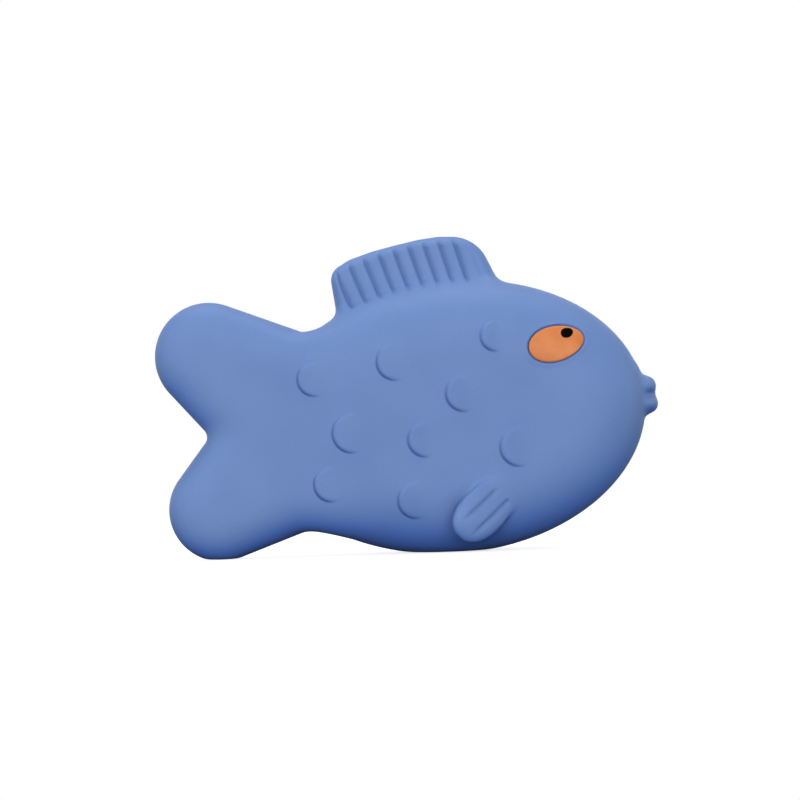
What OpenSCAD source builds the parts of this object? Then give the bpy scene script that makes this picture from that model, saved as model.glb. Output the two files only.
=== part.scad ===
// Squeaky bath toy: a hollow moulded rubber fish with a reed squeaker pushed into its belly.
// The nose points to +X, the back fin to +Z, and the toy stands on its belly and lower tail lobe.

/* [Body] */
// Length of the body ahead of its tallest place
body_front = 52.7; // [48:0.1:56]
// Length of the body behind its tallest place
body_rear = 56.4; // [53:0.1:60]
// Half of the body's height
body_half_height = 38; // [36:0.1:40]
// Half of the body's thickness across the flanks
body_half_thick = 19; // [17:0.5:22]
// Half of the body's thickness towards the nose
nose_half_thick = 18; // [16:0.5:19]
// Width of the rounding between the body's outline and the flat of its flanks
body_round = 22; // [19:0.5:25]
// Squareness of the cushion-shaped sections, where 2 is an ellipse
section_power = 2.7; // [2.2:0.1:3.2]
// Angle of the body's long axis above the floor, in degrees
nose_up = 4.9; // [3:0.1:6.5]
// Thickness of the rubber wall
wall = 2.8; // [2.4:0.1:3.4]
// Depth of the flat that the belly stands on
belly_flat = 0.6; // [0.55:0.05:1]

/* [Tail] */
// Distance from the tallest place of the body to the back of the tail
tail_reach = 84.2; // [81:0.1:87]
// Height of the top of the tail
tail_top = 72.1; // [69:0.1:75]
// Radius of the upper lobe's round end
upper_lobe_r = 15.1; // [13.5:0.1:17]
// Radius of the lower lobe's round end
lower_lobe_r = 14.4; // [13.5:0.1:16.5]
// How far the lower lobe ends short of the upper one
lower_lobe_short = 2.3; // [0:0.1:4]
// Distance from the tallest place of the body back to the root of the upper lobe
upper_root_back = 34.1; // [32:0.1:37]
// Height of the upper lobe's root above the body's long axis
upper_root_rise = -2.9; // [-4:0.1:-1]
// Distance from the tallest place of the body back to the root of the lower lobe
lower_root_back = 37.4; // [35:0.1:40]
// Height of the lower lobe's root above the body's long axis
lower_root_rise = 1.2; // [0:0.1:2.5]
// Radius of both lobes at their root
tail_root_r = 25.3; // [23:0.1:27]
// Half of the tail's thickness at the ends of the lobes
tail_half_thick = 10; // [8.5:0.25:12]
// Width of the rounding between the tail's outline and the flat of its flanks
tail_round = 13; // [11:0.5:15]
// Width of the soft notch between the lobes
notch_blend = 1.5; // [1:0.1:4]
// Width of the soft waist between body and tail
waist_blend = 2.5; // [1.5:0.1:5]
// How fast both blends widen from the outline towards the flanks
flank_soften = 0.6; // [0.3:0.05:0.9]
// Depth of the flat that the lower lobe stands on
lobe_flat = 0.3; // [0.2:0.05:0.8]

/* [Back fin] */
// Distance from the tallest place of the body back to the rear edge of the fin
fin_rear = 30.8; // [28:0.1:34]
// Distance from the tallest place of the body forward to the front foot of the fin
fin_front = 16.8; // [14:0.1:20]
// Height of the fin's crest above the body's long axis
fin_crest = 50.7; // [48:0.1:54]
// Drop from the crest to the rear corner of the fin
fin_rear_drop = 2.4; // [1.5:0.1:4]
// Radius of the fin's rear corner
fin_corner_r = 8.7; // [7.5:0.1:9.5]
// Radius of the slight bend in the fin's crest
fin_bend_r = 7.6; // [6.5:0.1:8.5]
// Radius of the fin's brow, where its crest turns down to the front
fin_brow_r = 10.4; // [9.4:0.1:11.4]
// Half of the fin's thickness
fin_half_thick = 4.5; // [3.5:0.1:5.5]
// Width of the rounding along the fin's edge
fin_edge = 2.5; // [2:0.25:4]
// Number of grooves on each side of the fin
fin_grooves = 9; // [6:1:10]
// Radius of a fin groove
groove_r = 0.9; // [0.6:0.05:1.2]
// Depth of a fin groove
groove_depth = 0.6; // [0.4:0.05:0.8]
// Height of a groove's lower end above the body
groove_lift = 0.3; // [0:0.1:1]
// Distance of a groove's upper end below the fin's crest
groove_drop = 1.5; // [1:0.1:2.5]

/* [Scales] */
// How far the rear edge of a scale stands proud
scale_step = 1; // [0.6:0.1:1.3]
// How far the front edge of a scale is buried
scale_sink = 0.35; // [0.2:0.05:0.6]
// Thickness of a scale's disc, most of it inside the wall
scale_thick = 2.2; // [2:0.1:2.3]

/* [Side fins] */
// Length of a side fin's fingers between the centres of their ends
finger_length = 14.8; // [13:0.1:16]
// How much shorter the outer fingers are than the middle one
finger_short = 1.8; // [1:0.1:3]
// Radius of a finger at its root
finger_root_r = 2.4; // [2:0.1:2.6]
// Radius of a finger at its free end
finger_tip_r = 2.7; // [2.3:0.1:2.9]
// Distance between neighbouring fingers at the root
finger_root_pitch = 3.8; // [3.2:0.1:4]
// Distance between neighbouring fingers at the free end
finger_tip_pitch = 3.9; // [3.4:0.1:4.2]
// How deep the axis of a finger lies below the flank at its root
finger_root_sink = 1.2; // [0.8:0.1:1.6]
// How high the axis of a finger lies above the flank at its free end
finger_tip_lift = 1.7; // [1.2:0.1:2]

/* [Lips] */
// Distance from the tallest place of the body forward to the axis of the lips
lip_forward = 53.35; // [52:0.05:54]
// Radius of the lips
lip_r = 2.8; // [2.5:0.05:3.1]
// Width of the lips across the nose
lip_width = 12; // [9:0.5:15]
// Distance between the axes of the two lips
lip_pitch = 5.6; // [5:0.1:6]
// Height of the mouth's crease above the body's long axis
mouth_rise = -0.2; // [-1.5:0.1:1.5]
// Depth of the mouth's crease behind the lips
mouth_depth = 0.7; // [0.5:0.05:1.1]

/* [Eyes] */
// Length of the eye socket
socket_length = 16.2; // [13:0.2:18]
// Width of the eye socket
socket_width = 10.4; // [9:0.2:12]
// Depth of the eye socket below the flank
socket_depth = 1.7; // [1.4:0.05:1.8]
// Gap between the painted iris and the wall of its socket
iris_gap = 0.4; // [0.2:0.05:0.6]
// How far the crown of the iris stands above the flank
iris_proud = 0.3; // [0.1:0.05:0.5]
// Radius of the crown of the iris
iris_crown_r = 34; // [28:1:45]
// Length of the pupil
pupil_length = 3.4; // [2.6:0.1:4]
// Width of the pupil
pupil_width = 2.8; // [2.2:0.1:3.2]
// Depth of the pupil's pocket in the iris
pupil_depth = 0.7; // [0.5:0.05:0.9]
// How far the pupil stands above the iris
pupil_proud = 0.15; // [0.1:0.05:0.3]
// Gap between the pupil and the wall of its pocket
pupil_gap = 0.05; // [0.02:0.01:0.1]

/* [Squeaker] */
// Outer diameter of the squeaker's barrel
barrel_d = 8.4; // [8:0.1:9]
// Wall of the squeaker's barrel
barrel_wall = 0.8; // [0.6:0.05:1]
// Length of the barrel above the flange
barrel_length = 13; // [11:0.5:16]
// Diameter of the squeaker's flange
flange_d = 11; // [10.5:0.1:12]
// Thickness of the squeaker's flange
flange_thick = 1.2; // [1:0.1:1.5]
// How far the flange is set back from the floor
flange_recess = 0.3; // [0.2:0.05:0.5]
// Diameter of the sound hole
sound_hole_d = 3; // [2:0.1:3.4]
// Height of the rubber collar that grips the barrel
collar_height = 8; // [6:0.5:10]
// Wall of the rubber collar
collar_wall = 2.6; // [2:0.1:3.2]
// Gap between the squeaker and the rubber
seat_gap = 0.1; // [0.05:0.01:0.2]
// Thickness of the lid's cover plate
lid_thick = 1; // [0.8:0.1:1.5]
// Length of the lid's spigot inside the barrel
spigot_length = 1.6; // [1.2:0.1:2]
// Diameter of the lid's air holes
air_hole_d = 1.5; // [1:0.1:1.7]
// Number of air holes in the lid
air_holes = 4; // [3:1:5]
// Gap between the pieces inside the barrel
fit_gap = 0.05; // [0.03:0.01:0.1]

/* [Reed] */
// Width of the reed
reed_width = 3.4; // [2.8:0.1:4]
// Thickness of the reed
reed_thick = 0.15; // [0.1:0.01:0.2]
// Length of the reed's root between trough and wedge
reed_root = 3.4; // [2.6:0.1:3.8]
// Length of the reed's free blade
reed_blade = 6; // [5:0.1:6.4]
// Angle between the blade at rest and the trough, in degrees
reed_set = 2.5; // [2.2:0.1:3.5]
// Width of the sound channel in the trough
channel_width = 2.2; // [1.6:0.1:2.4]
// Depth of the sound channel in the trough
channel_depth = 1.4; // [1:0.1:1.8]

/* [Hidden] */
$fn = 64;

// Mesh counts of the moulded forms, around the rim and from the middle to the rim
skin_around = 104;
skin_rings = 12;
cavity_around = 60;
cavity_rings = 8;
fin_around = 72;
fin_rings = 5;
rim_scan = 240;
halvings = 20;
egg_points = 44;
crown_facets = 240;
tiny = 0.0001;
// Distance over which the slope of the flank is taken
slope_step = 0.2;
// A cutter's length past the surface that it opens
past = 1;

rubber_blue = [0.37, 0.50, 0.77];
iris_orange = [0.87, 0.52, 0.30];
pupil_black = [0.05, 0.05, 0.06];
plastic_white = [0.90, 0.90, 0.87];
reed_clear = [0.75, 0.80, 0.82];

// The body's centre, from the nose's reach and from the lowest point of its tilted outline
lip_rise = mouth_rise + lip_pitch / 2;
chin_rise = mouth_rise - lip_pitch / 2;
nose_reach = lip_r + lip_forward * cos(nose_up) - min(lip_rise, chin_rise) * sin(nose_up);
body_x = (tail_reach - nose_reach) / 2;
body_drop = norm([body_rear * sin(nose_up), body_half_height * cos(nose_up)]);
body_z = body_drop - belly_flat;
belly = fish(
    -pow(body_rear, 2) * sin(nose_up) / body_drop,
    -pow(body_half_height, 2) * cos(nose_up) / body_drop
);

// Tail points, on the plane that parts the left side from the right
upper_root = fish(-upper_root_back, upper_root_rise);
lower_root = fish(-lower_root_back, lower_root_rise);
upper_tip = [body_x - tail_reach + upper_lobe_r, tail_top - upper_lobe_r];
lower_tip = [body_x - tail_reach + lower_lobe_short + lower_lobe_r, lower_lobe_r - lobe_flat];
// Stretches along the body's axis over which the tail's rounding and thickness become the body's,
// and over which the body thins towards the nose
round_run = [-48, -18];
thick_run = [-64, -12];
nose_run = [5, 52];
// The point from which every place on the toy's outline can be seen
hub_back = 32;
hub = fish(-hub_back, 0);
widest = tail_reach + body_front;

// Round corners of the fin's outline, as distances along and above the body's axis and a radius:
// the rear corner, the bend in the crest, the brow, and the feet inside the body
fin_bend = [9, 0.85];
fin_brow_back = 14;
fin_foot_r = 5.8;
fin_rear_lean = 2.2;
fin_bury = 2.7;
fin_foot = body_half_height - fin_foot_r;
fin_rounds = [
    [-fin_rear + fin_corner_r, fin_crest - fin_rear_drop - fin_corner_r, fin_corner_r],
    [-fin_bend.x, fin_crest - fin_bend.y - fin_bend_r, fin_bend_r],
    [fin_front - fin_brow_back, fin_crest - fin_brow_r, fin_brow_r],
    [fin_front - fin_foot_r, fin_foot, fin_foot_r],
    [-fin_rear + fin_corner_r - fin_rear_lean, fin_foot - fin_bury, fin_foot_r],
];
fin_hub = [(fin_front - fin_rear) / 2, (fin_crest + fin_foot) / 2];

// How far the upper and lower ends of the first and last groove lie inside the fin's ends
rear_groove = [1.9, 5.4];
front_groove = [11.6, 8.8];
groove_top = [rear_groove[0] - fin_rear, fin_front - front_groove[0]];
groove_foot = [rear_groove[1] - fin_rear, fin_front - front_groove[1]];

// Scales, each as a distance along and above the body's axis and a radius
scales = [
    [-38.4, 15.2, 4.8], [-15.6, 17.3, 5.2], [12.7, 21, 4.2],
    [-29.8, -0.9, 5.5], [2.2, 6.4, 5.1], [-9.9, -5, 4.9],
    [-37.2, -14.3, 4.9], [-14.4, -21.4, 5.1], [15.7, -10.1, 5.5],
];

// Side fin: the root's place and the way that the fingers point
finger_root = [9.7, -21.7];
finger_way = 217;
finger_count = 3;

// Eye: its place and tilt, and the pupil's place in the iris
eye_place = [29.3, 17];
eye_tilt = 7;
eye_egg = 0.1;
pupil_place = [3.5, 2.1];

// Squeaker heights above the floor
squeaker_x = belly.x;
barrel_foot = flange_recess + flange_thick;
barrel_top = barrel_foot + barrel_length;
chamber_r = barrel_d / 2 - barrel_wall;
insert_r = chamber_r - fit_gap;
trough_top = barrel_top - spigot_length - fit_gap;
clamp_top = barrel_foot + reed_root;
air_hole_ring = insert_r - air_hole_d;
air_hole_turn = 45;

// Point on the parting plane at a distance along and above the body's axis
function fish(u, v) = [
    body_x + u * cos(nose_up) - v * sin(nose_up),
    body_z + u * sin(nose_up) + v * cos(nose_up),
];

// Height of the body's outline above its axis
function back_height(u) = body_half_height * sqrt(1 - pow(u / (u > 0 ? body_front : body_rear), 2));

// Distance along and above the body's axis of a point on the parting plane
function fish_place(p) = let (d = p - [body_x, body_z])
    [d * [cos(nose_up), sin(nose_up)], d * [-sin(nose_up), cos(nose_up)]];

function clamp(t) = min(1, max(0, t));

function mix(a, b, t) = a + (b - a) * t;

// Smaller of two fields, with a soft blend of the given width where they meet
function soft_min(a, b, blend) = min(a, b) - pow(max(0, blend - abs(a - b)), 2) / (4 * blend);

// Distance field of a cushion: rho is 1 on its outline and y runs across it
function cushion(rho, slope, y, half_thick) = let (
    n = section_power,
    eta = abs(y) / half_thick,
    k = pow(pow(rho, n) + pow(eta, n), 1 / n),
    grade = norm([pow(rho, n - 1) * slope, pow(eta, n - 1) / half_thick])
) (k - 1) * pow(max(k, tiny), n - 1) / max(grade, tiny);

// Rises softly from 0 at the run's first place to 1 at its second
function ease(run, at) = let (t = clamp((at - run[0]) / (run[1] - run[0]))) t * t * (3 - 2 * t);

// Distance from a flat tongue between two points, with a round end of its own size at each
function tapered(p, a, a_r, b, b_r) = let (
    d = p - a,
    length = norm(b - a),
    along = d * (b - a) / length,
    beside = abs(cross(b - a, d)) / length,
    lean = (a_r - b_r) / length,
    flare = sqrt(1 - lean * lean),
    run = along * flare - beside * lean
) run < 0 ? norm(d) - a_r
    : run > length * flare ? norm(p - b) - b_r
    : beside * flare + along * lean - a_r;

// Distance from the body's outline, which is made of two half ellipses
function body_outline(q) = let (
    a = q.x > 0 ? body_front : body_rear,
    e = [q.x / a, q.y / body_half_height],
    rho = max(norm(e), tiny)
) (rho - 1) * rho / max(norm([e.x / a, e.y / body_half_height]), tiny);

// Distance from the outline of body and tail together, with blends that are wider by soften
function skin_outline(p, soften) = soft_min(
    body_outline(fish_place(p)),
    soft_min(
        tapered(p, upper_root, tail_root_r, upper_tip, upper_lobe_r),
        tapered(p, lower_root, tail_root_r, lower_tip, lower_lobe_r),
        notch_blend + soften
    ),
    waist_blend + soften
);

// Pillow over that outline, below 0 inside and drawn in by inset
function skin_field(p, inset) = let (
    q = [p.x, p.z],
    u = fish_place(q).x,
    outline = skin_outline(q, flank_soften * abs(p.y)) + inset,
    edge = mix(tail_round, body_round, ease(round_run, u)),
    half_thick = mix(tail_half_thick, body_half_thick, ease(thick_run, u))
        - (body_half_thick - nose_half_thick) * ease(nose_run, u) - inset
) cushion(max(1 + outline / edge, 0), 1 / edge, p.y, half_thick);

// Where a field that starts below 0 rises through it, found by halving
function crossing(field, low, high, steps) = let (mid = (low + high) / 2)
    steps == 0 ? mid
    : field(mid) < 0 ? crossing(field, mid, high, steps - 1)
    : crossing(field, low, mid, steps - 1);

function rim_point(field, middle, angle) = let (way = [cos(angle), sin(angle)])
    middle + way * crossing(function (r) field(middle + way * r), 0, widest, halvings);

// Rim of a flat field, in equal steps along its length
function rim(field, middle, count) = let (
    scan = [for (i = [0:rim_scan]) rim_point(field, middle, i * 360 / rim_scan)],
    run = [for (i = 0, s = 0; i <= rim_scan; s = s + (i < rim_scan ? norm(scan[i + 1] - scan[i]) : 0),
        i = i + 1) s],
    turn = [for (i = [0:rim_scan]) [run[i], i * 360 / rim_scan]]
) [for (k = [0:count - 1]) rim_point(field, middle, lookup(run[rim_scan] * k / count, turn))];

// Half of the thickness of body and tail at a point of the parting plane
function skin_half(q, inset) = crossing(
    function (y) skin_field([q.x, y, q.y], inset), 0, 2 * body_half_thick, halvings
);

// Distance from the fin's outline, drawn round its corners
function fin_field(p) = let (
    q = fish_place(p),
    last = len(fin_rounds) - 1,
    sides = [for (i = [0:last]) let (a = fin_rounds[i], b = fin_rounds[i == last ? 0 : i + 1])
        [[a.x, a.y], a.z, [b.x, b.y], b.z]],
    inside = min([for (s = sides) cross(q - s[0], s[2] - s[0]) >= 0 ? 1 : 0])
) inside == 1 ? -fin_foot_r : min([for (s = sides) tapered(q, s[0], s[1], s[2], s[3])]);

// Half of the fin's thickness, rounded along its edge
function fin_half(p) = let (rho = clamp(1 + fin_field(p) / fin_edge))
    fin_half_thick * sqrt(max(0, 1 - rho * rho));

// Local axes on the right flank: along the body, up and outwards
function flank_axes(place, turn) = let (
    q = fish(place.x, place.y),
    half = skin_half(q, 0),
    d = slope_step,
    rise_x = (skin_half(q + [d, 0], 0) - skin_half(q - [d, 0], 0)) / (2 * d),
    rise_z = (skin_half(q + [0, d], 0) - skin_half(q - [0, d], 0)) / (2 * d),
    out = -[rise_x, 1, rise_z] / norm([rise_x, 1, rise_z]),
    level = [cos(turn + nose_up), 0, sin(turn + nose_up)],
    flat = level - out * (level * out),
    along = flat / norm(flat),
    up = cross(out, along)
) [
    [along.x, up.x, out.x, q.x],
    [along.y, up.y, out.y, -half],
    [along.z, up.z, out.z, q.y],
    [0, 0, 0, 1],
];

// Point on the right flank, raised by lift along the outward direction
function flank_point(place, lift) = let (m = flank_axes(place, 0))
    [for (i = [0:2]) m[i][3] + m[i][2] * lift];

// Closed form, equal on both sides of its rim on the parting plane and meshed along spokes from its middle
module domed(middle, edge, rings, half, field) {
    n = len(edge);
    function at(side, ring, i) =
        ring == rings ? i % n
        : ring == 0 ? n + 2 * (rings - 1) * n + side
        : n + (side * (rings - 1) + ring - 1) * n + i % n;
    function flip(side, f) = side == 0 ? f : [f[2], f[1], f[0]];
    points = concat(
        [for (p = edge) [p.x, 0, p.y]],
        [for (side = [-1, 1], ring = [1:rings - 1], p = edge)
            let (q = mix(middle, p, sin(90 * ring / rings))) [q.x, side * half(q), q.y]],
        [for (side = [-1, 1]) [middle.x, side * half(middle), middle.y]]
    );
    // Each four-cornered patch is cut along the diagonal that lies closer to the true surface
    function miss(i, j) = abs(field((points[i] + points[j]) / 2));
    faces = [for (side = [0, 1], ring = [0:rings - 1], i = [0:n - 1]) let (
        a = at(side, ring, i),
        b = at(side, ring, i + 1),
        c = at(side, ring + 1, i + 1),
        d = at(side, ring + 1, i)
    ) each
        a == b ? [flip(side, [a, c, d])]
        : miss(a, c) <= miss(b, d) ? [flip(side, [a, c, d]), flip(side, [a, b, c])]
        : [flip(side, [a, b, d]), flip(side, [b, c, d])]];
    polyhedron(points = points, faces = faces, convexity = 6);
}

module both_flanks() {
    children();
    mirror([0, 1, 0]) children();
}

module on_right_flank(place, turn = 0) multmatrix(flank_axes(place, turn)) children();

// Round-ended bar along Z from the middle of one end to the middle of the other
module finger(r1, r2, length) {
    lean = asin((r1 - r2) / length);
    steps = 6;
    rotate_extrude() polygon(concat(
        [for (i = [0:steps]) let (a = mix(-90, lean, i / steps)) [r1 * cos(a), r1 * sin(a)]],
        [for (i = [0:steps]) let (a = mix(lean, 90, i / steps)) [r2 * cos(a), length + r2 * sin(a)]]
    ));
}

// Bar between two points in space
module finger_between(a, b, r1, r2) {
    w = b - a;
    translate(a) rotate([0, acos(w.z / norm(w)), atan2(w.y, w.x)]) finger(r1, r2, norm(w));
}

module body_form(inset, around, rings) {
    edge = rim(function (q) skin_field([q.x, 0, q.y], inset), hub, around);
    domed(hub, edge, rings, function (q) skin_half(q, inset), function (p) skin_field(p, inset));
}

module back_fin() {
    middle = fish(fin_hub.x, fin_hub.y);
    edge = rim(function (q) fin_field(q), middle, fin_around);
    domed(middle, edge, fin_rings, function (q) fin_half(q), function (p) abs(p.y) - fin_half([p.x, p.z]));
}

module fin_groove(t) {
    u = mix(groove_foot[0], groove_foot[1], t);
    high = mix(groove_top[0], groove_top[1], t);
    crest = crossing(function (v) fin_field(fish(high, v)), fin_foot, fin_crest + past, halvings);
    top = fish(high, crest - groove_drop);
    foot = fish(u, back_height(u) + groove_lift);
    way = top - foot;
    translate([foot.x, -fin_half_thick - groove_r + groove_depth, foot.y])
        rotate([0, atan2(way.x, way.y), 0])
            cylinder(h = norm(way), r = groove_r);
}

module flank_scale(place) {
    tilt = asin((scale_step + scale_sink) / (2 * place.z));
    on_right_flank(place)
        translate([0, 0, (scale_step - scale_sink) / 2])
            rotate([0, tilt, 0])
                translate([0, 0, -scale_thick]) cylinder(h = scale_thick, r = place.z);
}

module side_fin() {
    way = [cos(finger_way), sin(finger_way)];
    beside = [-way.y, way.x];
    for (i = [0:finger_count - 1]) {
        k = i - (finger_count - 1) / 2;
        finger_between(
            flank_point(finger_root + beside * k * finger_root_pitch, -finger_root_sink),
            flank_point(
                finger_root + way * (finger_length - abs(k) * finger_short) + beside * k * finger_tip_pitch,
                finger_tip_lift
            ),
            finger_root_r, finger_tip_r
        );
    }
}

// Lip across the nose, round in section and drawn in towards its ends
module lip(rise, r) {
    q = fish(lip_forward, rise);
    steps = 12;
    translate([q.x, 0, q.y]) rotate([90, 0, 0]) rotate_extrude() polygon(
        [for (i = [0:steps]) let (a = 180 * i / steps - 90) [r * cos(a), lip_width / 2 * sin(a)]]
    );
}

module egg(length, width) {
    polygon([for (i = [0:egg_points - 1]) let (a = 360 * i / egg_points)
        [length / 2 * cos(a), width / 2 * sin(a) * (1 - eye_egg * cos(a))]]);
}

module squeaker_place() translate([squeaker_x, 0, 0]) children();

module squeaker_seat() {
    squeaker_place() {
        translate([0, 0, -past]) cylinder(h = past + barrel_foot + seat_gap, d = flange_d + 2 * seat_gap);
        cylinder(h = collar_height + past, d = barrel_d + 2 * seat_gap);
    }
}

module collar() squeaker_place() cylinder(h = collar_height, d = barrel_d + 2 * seat_gap + 2 * collar_wall);

module floor_block() translate([-widest, -widest, -widest]) cube([2 * widest, 2 * widest, widest]);

module body_skin() {
    color(rubber_blue) difference() {
        union() {
            body_form(0, skin_around, skin_rings);
            back_fin();
            lip(lip_rise, lip_r);
            lip(mouth_rise, lip_r - mouth_depth);
            lip(chin_rise, lip_r);
            both_flanks() {
                side_fin();
                for (s = scales) flank_scale(s);
            }
        }
        difference() {
            body_form(wall, cavity_around, cavity_rings);
            collar();
        }
        both_flanks() {
            for (i = [0:fin_grooves - 1]) fin_groove(i / (fin_grooves - 1));
            on_right_flank(eye_place, eye_tilt)
                translate([0, 0, -socket_depth])
                    linear_extrude(socket_depth + past) egg(socket_length, socket_width);
        }
        squeaker_seat();
        floor_block();
    }
}

module pupil_pocket(gap) {
    translate([pupil_place.x, pupil_place.y, 0]) linear_extrude(socket_depth + past)
        egg(pupil_length + 2 * gap, pupil_width + 2 * gap);
}

module iris_crown(lift) translate([0, 0, lift - iris_crown_r]) sphere(iris_crown_r, $fn = crown_facets);

module iris() {
    on_right_flank(eye_place, eye_tilt) difference() {
        intersection() {
            translate([0, 0, -socket_depth]) linear_extrude(socket_depth + past)
                egg(socket_length - 2 * iris_gap, socket_width - 2 * iris_gap);
            iris_crown(iris_proud);
        }
        translate([0, 0, -pupil_depth]) pupil_pocket(pupil_gap);
    }
}

module pupil() {
    on_right_flank(eye_place, eye_tilt) intersection() {
        translate([0, 0, -pupil_depth]) pupil_pocket(0);
        iris_crown(iris_proud + pupil_proud);
    }
}

module right_iris() color(iris_orange) iris();

module right_pupil() color(pupil_black) pupil();

module left_iris() color(iris_orange) mirror([0, 1, 0]) iris();

module left_pupil() color(pupil_black) mirror([0, 1, 0]) pupil();

module squeaker_case() {
    color(plastic_white) squeaker_place() difference() {
        union() {
            translate([0, 0, flange_recess]) cylinder(h = flange_thick, d = flange_d);
            translate([0, 0, flange_recess]) cylinder(h = flange_thick + barrel_length, d = barrel_d);
        }
        translate([0, 0, barrel_foot]) cylinder(h = barrel_length + past, r = chamber_r);
        cylinder(h = barrel_foot + past, d = sound_hole_d);
    }
}

module squeaker_lid() {
    color(plastic_white) squeaker_place() difference() {
        union() {
            translate([0, 0, barrel_top]) cylinder(h = lid_thick, d = barrel_d);
            translate([0, 0, barrel_top - spigot_length])
                cylinder(h = spigot_length + lid_thick, r = insert_r);
        }
        for (i = [0:air_holes - 1]) rotate(i * 360 / air_holes + air_hole_turn)
            translate([air_hole_ring, 0, trough_top])
                cylinder(h = spigot_length + lid_thick + past, d = air_hole_d);
    }
}

// Half of a round bar on the tail's side of the reed or, turned, on the nose's side
module half_bar(length, back_off) {
    intersection() {
        cylinder(h = length, r = insert_r);
        translate([-2 * insert_r - back_off, -insert_r, 0]) cube([2 * insert_r, 2 * insert_r, length]);
    }
}

module reed_trough() {
    color(plastic_white) squeaker_place() translate([0, 0, barrel_foot]) difference() {
        half_bar(trough_top - barrel_foot, reed_thick / 2);
        translate([-channel_depth, -channel_width / 2, -past])
            cube([channel_depth + past, channel_width, past + reed_root + reed_blade - channel_width / 2]);
    }
}

module reed_wedge() {
    color(plastic_white) squeaker_place() translate([0, 0, barrel_foot]) rotate(180)
        half_bar(reed_root, reed_thick / 2);
}

module reed() {
    color(reed_clear) squeaker_place() union() {
        translate([-reed_thick / 2, -reed_width / 2, barrel_foot])
            cube([reed_thick, reed_width, reed_root]);
        translate([-reed_thick / 2, -reed_width / 2, clamp_top]) rotate([0, reed_set, 0])
            cube([reed_thick, reed_width, reed_blade]);
    }
}

body_skin();
right_iris();
right_pupil();
left_iris();
left_pupil();
squeaker_case();
squeaker_lid();
reed_trough();
reed();
reed_wedge();
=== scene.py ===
import math

import bmesh
import bpy
import numpy as np
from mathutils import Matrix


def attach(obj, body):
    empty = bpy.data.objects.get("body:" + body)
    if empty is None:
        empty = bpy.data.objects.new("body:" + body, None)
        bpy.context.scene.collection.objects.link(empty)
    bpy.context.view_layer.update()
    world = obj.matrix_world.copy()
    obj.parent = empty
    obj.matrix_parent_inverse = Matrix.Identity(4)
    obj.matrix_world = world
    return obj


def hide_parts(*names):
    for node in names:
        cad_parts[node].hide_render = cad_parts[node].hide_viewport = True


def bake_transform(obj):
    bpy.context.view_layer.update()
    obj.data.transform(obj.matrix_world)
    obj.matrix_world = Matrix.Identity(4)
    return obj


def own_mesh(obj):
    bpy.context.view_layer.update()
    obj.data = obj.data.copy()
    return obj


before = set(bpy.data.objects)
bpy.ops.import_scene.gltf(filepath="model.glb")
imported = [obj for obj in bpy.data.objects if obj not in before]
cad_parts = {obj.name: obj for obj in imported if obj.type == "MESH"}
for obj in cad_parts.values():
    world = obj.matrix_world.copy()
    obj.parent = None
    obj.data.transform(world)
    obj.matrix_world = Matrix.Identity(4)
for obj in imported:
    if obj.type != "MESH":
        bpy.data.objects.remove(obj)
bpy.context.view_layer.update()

# Rubber skin: one hollow moulding of soft natural rubber, with body, tail, fins and lips in one.
# The liquid rubber is cast in a two-part mould that parts along the plane y = 0, so both flanks
# are alike. All its sizes are in millimetres, and become metres when the mesh is made.
MM = 0.001
nose_up = math.radians(4.9)
body_middle = (13.994, 37.566)
section_power = 2.7
least = 1e-4


def fish_axes(p):
    """Distances along and above the body's long axis."""
    dx, dz = p[:, 0] - body_middle[0], p[:, 2] - body_middle[1]
    along = dx * math.cos(nose_up) + dz * math.sin(nose_up)
    return along, dz * math.cos(nose_up) - dx * math.sin(nose_up)


def fish_point(u, v):
    """Point of the parting plane at a distance along and above the body's axis."""
    x = body_middle[0] + u * math.cos(nose_up) - v * math.sin(nose_up)
    return x, body_middle[1] + u * math.sin(nose_up) + v * math.cos(nose_up)


def on_right(p):
    """The same points, with those of the left flank mirrored on to the right one."""
    return np.column_stack([p[:, 0], -np.abs(p[:, 1]), p[:, 2]])


def soft_min(a, b, blend):
    """Smaller of two distances, with a soft blend of the given width where they meet."""
    return np.minimum(a, b) - np.maximum(0, blend - np.abs(a - b)) ** 2 / (4 * blend)


def ease(start, end, t):
    """0 at start and 1 at end, with a smooth run between them."""
    t = np.clip((t - start) / (end - start), 0, 1)
    return t * t * (3 - 2 * t)


def cushion(rho, slope, across, half_thick):
    """Distance from a cushion-shaped form whose outline is where rho is 1."""
    n = section_power
    eta = np.abs(across) / half_thick
    k = (rho**n + eta**n) ** (1 / n)
    grade = np.hypot(rho ** (n - 1) * slope, eta ** (n - 1) / half_thick)
    return (k - 1) * np.maximum(k, least) ** (n - 1) / np.maximum(grade, least)


def tapered(p, a, a_r, b, b_r):
    """Distance from a flat tongue with a round end of its own size at a and at b."""
    way, d = np.subtract(b, a), p - np.array(a)
    length = math.hypot(*way)
    along = d @ way / length
    beside = np.abs(d @ np.array([way[1], -way[0]])) / length
    lean = (a_r - b_r) / length
    flare = math.sqrt(1 - lean**2)
    run = along * flare - beside * lean
    side = beside * flare + along * lean - a_r
    a_end, b_end = np.hypot(along, beside) - a_r, np.hypot(along - length, beside) - b_r
    return np.where((run < 0) | (run > length * flare), np.where(run < 0, a_end, b_end), side)


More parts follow.
